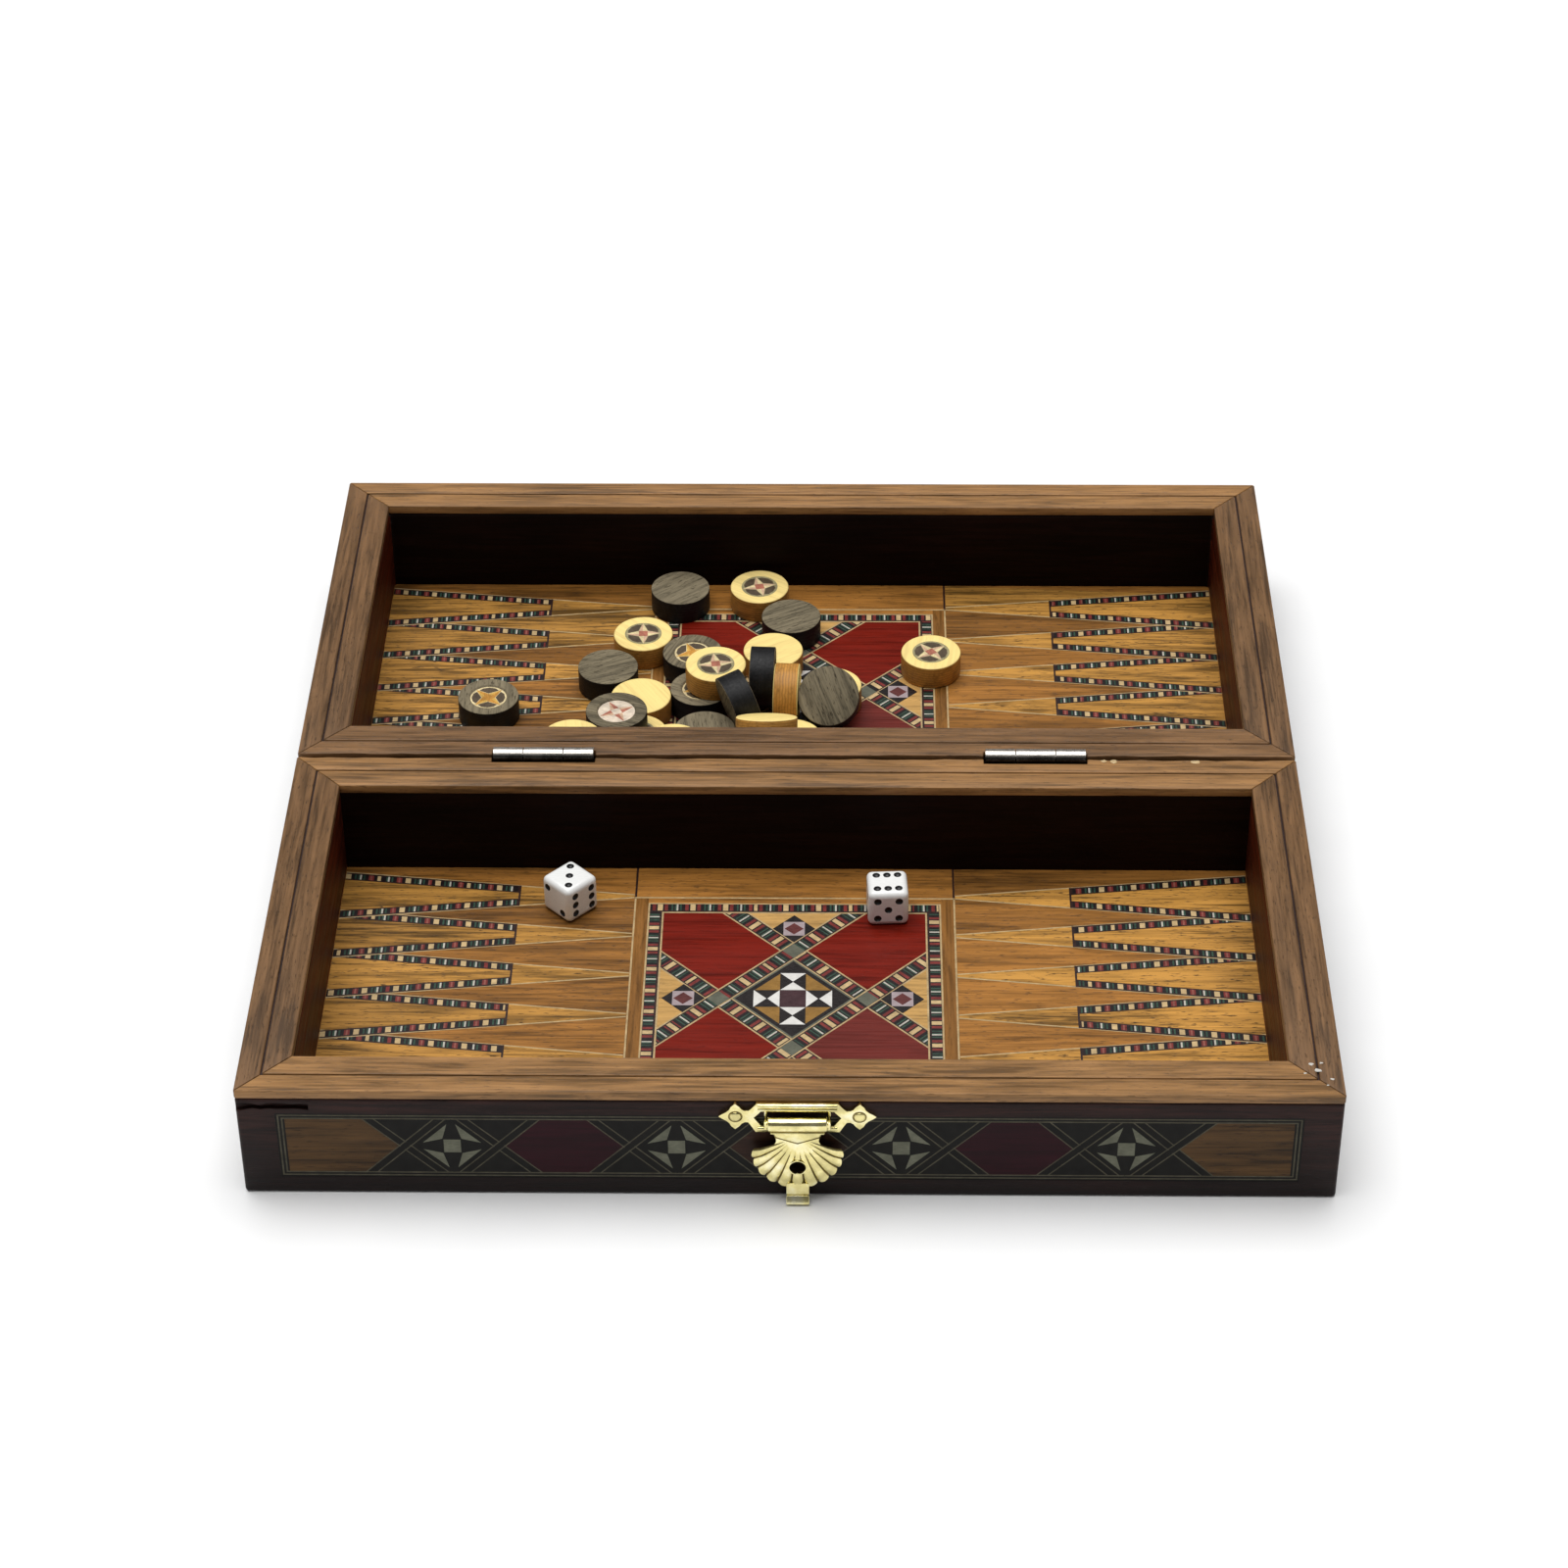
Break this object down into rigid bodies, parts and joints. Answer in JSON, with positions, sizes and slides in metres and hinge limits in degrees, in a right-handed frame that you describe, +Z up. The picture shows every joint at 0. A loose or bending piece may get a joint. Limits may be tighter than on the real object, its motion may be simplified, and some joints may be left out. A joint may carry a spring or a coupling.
{
  "type": "backgammon set",
  "caption": "Folding wooden backgammon box with marquetry playfields, a brass hook-over clasp, butt hinges, loose round checkers and dice.",
  "frame": {"origin": "on the table under the middle of the hinge line of the opened board", "axes": "+X along the hinge line to the right, +Y from the clasp towards the rear tray, +Z up"},
  "size_m": [0.2, 0.2075, 0.0267],
  "materials": {
    "dark_wall_wood": "satin",
    "walnut_edging": "satin",
    "base_wood": "satin",
    "playfield_marquetry": "satin",
    "side_marquetry": "satin",
    "hinge_steel": "dark",
    "pin_steel": "satin",
    "clasp_brass": "polished",
    "nail_brass": "polished",
    "light_checker_wood": "satin",
    "dark_checker_wood": "matte",
    "die_white": "gloss"
  },
  "bodies": {
    "front_tray": {"front_base_panel": "base_wood", "front_hinge_screws": "pin_steel", "front_hinge_wall": "dark_wall_wood", "front_latch_wall": "dark_wall_wood", "front_left_wall": "dark_wall_wood", "front_playfield": "playfield_marquetry", "front_right_wall": "dark_wall_wood", "front_rim_edging": "walnut_edging", "front_side_inlays": "side_marquetry", "hinge_pins": "pin_steel", "latch_nails": "nail_brass", "latch_plate": "clasp_brass", "left_hinge_front_leaf": "hinge_steel", "right_hinge_front_leaf": "hinge_steel"},
    "rear_tray": {"keeper_nails": "nail_brass", "keeper_plate": "clasp_brass", "left_hinge_rear_leaf": "hinge_steel", "rear_base_panel": "base_wood", "rear_hinge_screws": "pin_steel", "rear_hinge_wall": "dark_wall_wood", "rear_keeper_wall": "dark_wall_wood", "rear_left_wall": "dark_wall_wood", "rear_playfield": "playfield_marquetry", "rear_right_wall": "dark_wall_wood", "rear_rim_edging": "walnut_edging", "rear_side_inlays": "side_marquetry", "right_hinge_rear_leaf": "hinge_steel"},
    "clasp_flap": {"latch_flap": "clasp_brass"},
    "dark_checker_01_piece": {"dark_checker_01": "dark_checker_wood"},
    "dark_checker_02_piece": {"dark_checker_02": "dark_checker_wood"},
    "dark_checker_03_piece": {"dark_checker_03": "dark_checker_wood"},
    "dark_checker_04_piece": {"dark_checker_04": "dark_checker_wood"},
    "dark_checker_05_piece": {"dark_checker_05": "dark_checker_wood"},
    "dark_checker_06_piece": {"dark_checker_06": "dark_checker_wood"},
    "dark_checker_07_piece": {"dark_checker_07": "dark_checker_wood"},
    "dark_checker_08_piece": {"dark_checker_08": "dark_checker_wood"},
    "dark_checker_09_piece": {"dark_checker_09": "dark_checker_wood"},
    "dark_checker_10_piece": {"dark_checker_10": "dark_checker_wood"},
    "dark_checker_11_piece": {"dark_checker_11": "dark_checker_wood"},
    "dark_checker_12_piece": {"dark_checker_12": "dark_checker_wood"},
    "dark_checker_13_piece": {"dark_checker_13": "dark_checker_wood"},
    "dark_checker_14_piece": {"dark_checker_14": "dark_checker_wood"},
    "dark_checker_15_piece": {"dark_checker_15": "dark_checker_wood"},
    "left_die_piece": {"left_die": "die_white"},
    "light_checker_01_piece": {"light_checker_01": "light_checker_wood"},
    "light_checker_02_piece": {"light_checker_02": "light_checker_wood"},
    "light_checker_03_piece": {"light_checker_03": "light_checker_wood"},
    "light_checker_04_piece": {"light_checker_04": "light_checker_wood"},
    "light_checker_05_piece": {"light_checker_05": "light_checker_wood"},
    "light_checker_06_piece": {"light_checker_06": "light_checker_wood"},
    "light_checker_07_piece": {"light_checker_07": "light_checker_wood"},
    "light_checker_08_piece": {"light_checker_08": "light_checker_wood"},
    "light_checker_09_piece": {"light_checker_09": "light_checker_wood"},
    "light_checker_10_piece": {"light_checker_10": "light_checker_wood"},
    "light_checker_11_piece": {"light_checker_11": "light_checker_wood"},
    "light_checker_12_piece": {"light_checker_12": "light_checker_wood"},
    "light_checker_13_piece": {"light_checker_13": "light_checker_wood"},
    "light_checker_14_piece": {"light_checker_14": "light_checker_wood"},
    "light_checker_15_piece": {"light_checker_15": "light_checker_wood"},
    "right_die_piece": {"right_die": "die_white"}
  },
  "joints": [
    {"name": "board_fold", "type": "hinge", "parent": "front_tray", "child": "rear_tray", "pos_m": [0, 0, 0.02515], "axis": [-1, 0, 0], "range_deg": [-180, 0]},
    {"name": "clasp_swing", "type": "hinge", "parent": "front_tray", "child": "clasp_flap", "pos_m": [0.0016, -0.1025, 0.0193], "axis": [1, 0, 0], "range_deg": [-180, 0]},
    {"name": "lift_dark_checker_01", "type": "slide", "parent": "rear_tray", "child": "dark_checker_01_piece", "axis": [0, 0, 1], "range_m": [0, 0.022]},
    {"name": "lift_dark_checker_02", "type": "slide", "parent": "rear_tray", "child": "dark_checker_02_piece", "axis": [0, 0, 1], "range_m": [0, 0.022]},
    {"name": "lift_dark_checker_03", "type": "slide", "parent": "rear_tray", "child": "dark_checker_03_piece", "axis": [0, 0, 1], "range_m": [0, 0.022]},
    {"name": "lift_dark_checker_04", "type": "slide", "parent": "rear_tray", "child": "dark_checker_04_piece", "axis": [0, 0, 1], "range_m": [0, 0.022]},
    {"name": "lift_dark_checker_05", "type": "slide", "parent": "light_checker_06_piece", "child": "dark_checker_05_piece", "axis": [0, 0, 1], "range_m": [0, 0.022]},
    {"name": "lift_dark_checker_06", "type": "slide", "parent": "rear_tray", "child": "dark_checker_06_piece", "axis": [0, 0, 1], "range_m": [0, 0.022]},
    {"name": "lift_dark_checker_07", "type": "slide", "parent": "rear_tray", "child": "dark_checker_07_piece", "axis": [0, 0, 1], "range_m": [0, 0.022]},
    {"name": "lift_dark_checker_08", "type": "slide", "parent": "rear_tray", "child": "dark_checker_08_piece", "axis": [0, 0, 1], "range_m": [0, 0.022]},
    {"name": "lift_dark_checker_09", "type": "slide", "parent": "dark_checker_08_piece", "child": "dark_checker_09_piece", "axis": [0, 0, 1], "range_m": [0, 0.022]},
    {"name": "lift_dark_checker_10", "type": "slide", "parent": "rear_tray", "child": "dark_checker_10_piece", "axis": [0, 0, 1], "range_m": [0, 0.022]},
    {"name": "lift_dark_checker_11", "type": "slide", "parent": "light_checker_12_piece", "child": "dark_checker_11_piece", "axis": [0, 0, 1], "range_m": [0, 0.022]},
    {"name": "lift_dark_checker_12", "type": "slide", "parent": "rear_tray", "child": "dark_checker_12_piece", "axis": [0, 0, 1], "range_m": [0, 0.022]},
    {"name": "lift_dark_checker_13", "type": "slide", "parent": "rear_tray", "child": "dark_checker_13_piece", "axis": [0, 0, 1], "range_m": [0, 0.022]},
    {"name": "lift_dark_checker_14", "type": "slide", "parent": "rear_tray", "child": "dark_checker_14_piece", "axis": [0, 0, 1], "range_m": [0, 0.022]},
    {"name": "lift_dark_checker_15", "type": "slide", "parent": "rear_tray", "child": "dark_checker_15_piece", "axis": [0, 0, 1], "range_m": [0, 0.022]},
    {"name": "lift_left_die", "type": "slide", "parent": "front_tray", "child": "left_die_piece", "axis": [0, 0, 1], "range_m": [0, 0.022]},
    {"name": "lift_light_checker_01", "type": "slide", "parent": "rear_tray", "child": "light_checker_01_piece", "axis": [0, 0, 1], "range_m": [0, 0.022]},
    {"name": "lift_light_checker_02", "type": "slide", "parent": "rear_tray", "child": "light_checker_02_piece", "axis": [0, 0, 1], "range_m": [0, 0.022]},
    {"name": "lift_light_checker_03", "type": "slide", "parent": "rear_tray", "child": "light_checker_03_piece", "axis": [0, 0, 1], "range_m": [0, 0.022]},
    {"name": "lift_light_checker_04", "type": "slide", "parent": "dark_checker_07_piece", "child": "light_checker_04_piece", "axis": [0, 0, 1], "range_m": [0, 0.022]},
    {"name": "lift_light_checker_05", "type": "slide", "parent": "light_checker_14_piece", "child": "light_checker_05_piece", "axis": [0, 0, 1], "range_m": [0, 0.022]},
    {"name": "lift_light_checker_06", "type": "slide", "parent": "rear_tray", "child": "light_checker_06_piece", "axis": [0, 0, 1], "range_m": [0, 0.022]},
    {"name": "lift_light_checker_07", "type": "slide", "parent": "dark_checker_12_piece", "child": "light_checker_07_piece", "axis": [0, 0, 1], "range_m": [0, 0.022]},
    {"name": "lift_light_checker_08", "type": "slide", "parent": "rear_tray", "child": "light_checker_08_piece", "axis": [0, 0, 1], "range_m": [0, 0.022]},
    {"name": "lift_light_checker_09", "type": "slide", "parent": "rear_tray", "child": "light_checker_09_piece", "axis": [0, 0, 1], "range_m": [0, 0.022]},
    {"name": "lift_light_checker_10", "type": "slide", "parent": "light_checker_11_piece", "child": "light_checker_10_piece", "axis": [0, 0, 1], "range_m": [0, 0.022]},
    {"name": "lift_light_checker_11", "type": "slide", "parent": "rear_tray", "child": "light_checker_11_piece", "axis": [0, 0, 1], "range_m": [0, 0.022]},
    {"name": "lift_light_checker_12", "type": "slide", "parent": "rear_tray", "child": "light_checker_12_piece", "axis": [0, 0, 1], "range_m": [0, 0.022]},
    {"name": "lift_light_checker_13", "type": "slide", "parent": "rear_tray", "child": "light_checker_13_piece", "axis": [0, 0, 1], "range_m": [0, 0.022]},
    {"name": "lift_light_checker_14", "type": "slide", "parent": "rear_tray", "child": "light_checker_14_piece", "axis": [0, 0, 1], "range_m": [0, 0.022]},
    {"name": "lift_light_checker_15", "type": "slide", "parent": "rear_tray", "child": "light_checker_15_piece", "axis": [0, 0, 1], "range_m": [0, 0.022]},
    {"name": "lift_right_die", "type": "slide", "parent": "front_tray", "child": "right_die_piece", "axis": [0, 0, 1], "range_m": [0, 0.022]}
  ]
}
